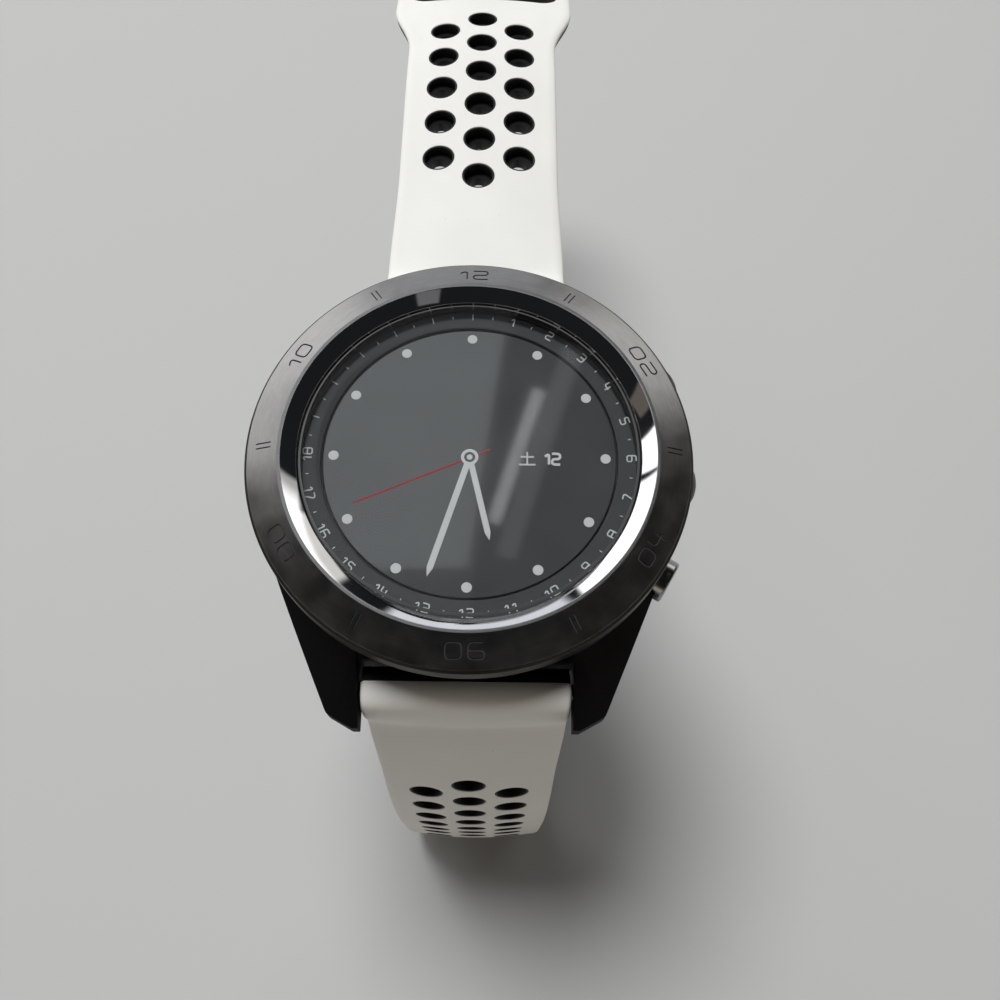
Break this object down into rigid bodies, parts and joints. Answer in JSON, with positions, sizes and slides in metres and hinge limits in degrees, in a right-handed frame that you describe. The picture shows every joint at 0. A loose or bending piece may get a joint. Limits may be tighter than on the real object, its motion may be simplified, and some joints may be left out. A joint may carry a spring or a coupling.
{
  "type": "golf gps watch",
  "caption": "Round golf GPS wrist watch with an engraved hour bezel, side push buttons and a perforated two-piece silicone strap with a pin-and-tuck closure, standing on its curled long strap.",
  "frame": {"origin": "on the floor under the centre of the dial, on the flat underside of the curled end of the long strap", "axes": "+Y towards 12 o'clock, +X towards 3 o'clock and the buttons, +Z out of the dial"},
  "size_m": [0.0483, 0.135, 0.0869],
  "materials": {
    "case_polymer": "fine matt texture",
    "bezel_metal": "matt brushed gunmetal with a polished inner chamfer",
    "lens_glass": "polished",
    "seal_rubber": "matt",
    "dial_black": "matt, printed hole numbers",
    "display": "dark reflective display",
    "black_plastic": "moulded",
    "gold_plate": "gold plated",
    "circuit_board": "solder mask",
    "steel": "satin",
    "battery_foil": "foil pouch",
    "sensor_glass": "dark polished",
    "button_black": "moulded, knurled on the top button",
    "button_steel": "satin",
    "strap_white": "matt silicone",
    "strap_black": "matt silicone"
  },
  "bodies": {
    "head": {"case_body": "case_polymer", "bezel_ring": "bezel_metal", "lens": "lens_glass", "lens_gasket": "seal_rubber", "dial_ring": "dial_black", "display_panel": "display", "display_frame": "black_plastic", "antenna_ring": "gold_plate", "main_board": "circuit_board", "processor_shield": "steel", "gnss_module": "steel", "battery_cell": "battery_foil", "vibration_motor": "steel", "sensor_board": "circuit_board", "sensor_window": "sensor_glass", "back_cover": "case_polymer", "back_gasket": "seal_rubber", "back_screw_1": "steel", "back_screw_2": "steel", "back_screw_3": "steel", "back_screw_4": "steel", "charge_port": "black_plastic", "charge_contact_1": "gold_plate", "charge_contact_2": "gold_plate", "charge_contact_3": "gold_plate", "charge_contact_4": "gold_plate", "switch_top": "black_plastic", "switch_middle": "black_plastic", "switch_bottom": "black_plastic", "lug_pin_upper": "steel", "lug_pin_lower": "steel"},
    "button_top": {"button_top_cap": "button_black", "button_top_stem": "steel", "button_top_seal": "seal_rubber", "button_top_clip": "steel"},
    "button_middle": {"button_middle_cap": "button_black", "button_middle_stem": "steel", "button_middle_seal": "seal_rubber", "button_middle_clip": "steel"},
    "button_bottom": {"button_bottom_cap": "button_steel", "button_bottom_stem": "steel", "button_bottom_seal": "seal_rubber", "button_bottom_clip": "steel"},
    "upper_strap": {"upper_strap_skin": "strap_white", "upper_strap_liner": "strap_black", "upper_hook": "black_plastic", "upper_latch_spring": "steel", "closure_stud": "steel"},
    "lower_strap": {"lower_strap_skin": "strap_white", "lower_strap_liner": "strap_black", "lower_hook": "black_plastic", "lower_latch_spring": "steel"},
    "upper_latch_slider": {"upper_latch": "steel"},
    "lower_latch_slider": {"lower_latch": "steel"}
  },
  "joints": [
    {"name": "button_top_press", "type": "slide", "parent": "head", "child": "button_top", "axis": [-0.891, -0.454, 0], "range_m": [0, 0.0005], "stiffness_N_per_m": 4000},
    {"name": "button_middle_press", "type": "slide", "parent": "head", "child": "button_middle", "axis": [-0.999, 0.0436, 0], "range_m": [0, 0.0005], "stiffness_N_per_m": 4000},
    {"name": "button_bottom_press", "type": "slide", "parent": "head", "child": "button_bottom", "axis": [-0.866, 0.5, 0], "range_m": [0, 0.0005], "stiffness_N_per_m": 4000},
    {"name": "upper_strap_hinge", "type": "hinge", "parent": "head", "child": "upper_strap", "pos_m": [0, 0.0231, 0.0755], "axis": [-1, 0, 0], "range_deg": [-6, 66]},
    {"name": "lower_strap_hinge", "type": "hinge", "parent": "head", "child": "lower_strap", "pos_m": [0, -0.0231, 0.0755], "axis": [-1, 0, 0], "range_deg": [-8, 80]},
    {"name": "upper_latch_slide", "type": "slide", "parent": "upper_strap", "child": "upper_latch_slider", "axis": [0, 0.9974, -0.0715], "range_m": [0, 0.0015], "stiffness_N_per_m": 1000},
    {"name": "lower_latch_slide", "type": "slide", "parent": "lower_strap", "child": "lower_latch_slider", "axis": [0, -0.2924, -0.9563], "range_m": [0, 0.0015], "stiffness_N_per_m": 1000}
  ]
}
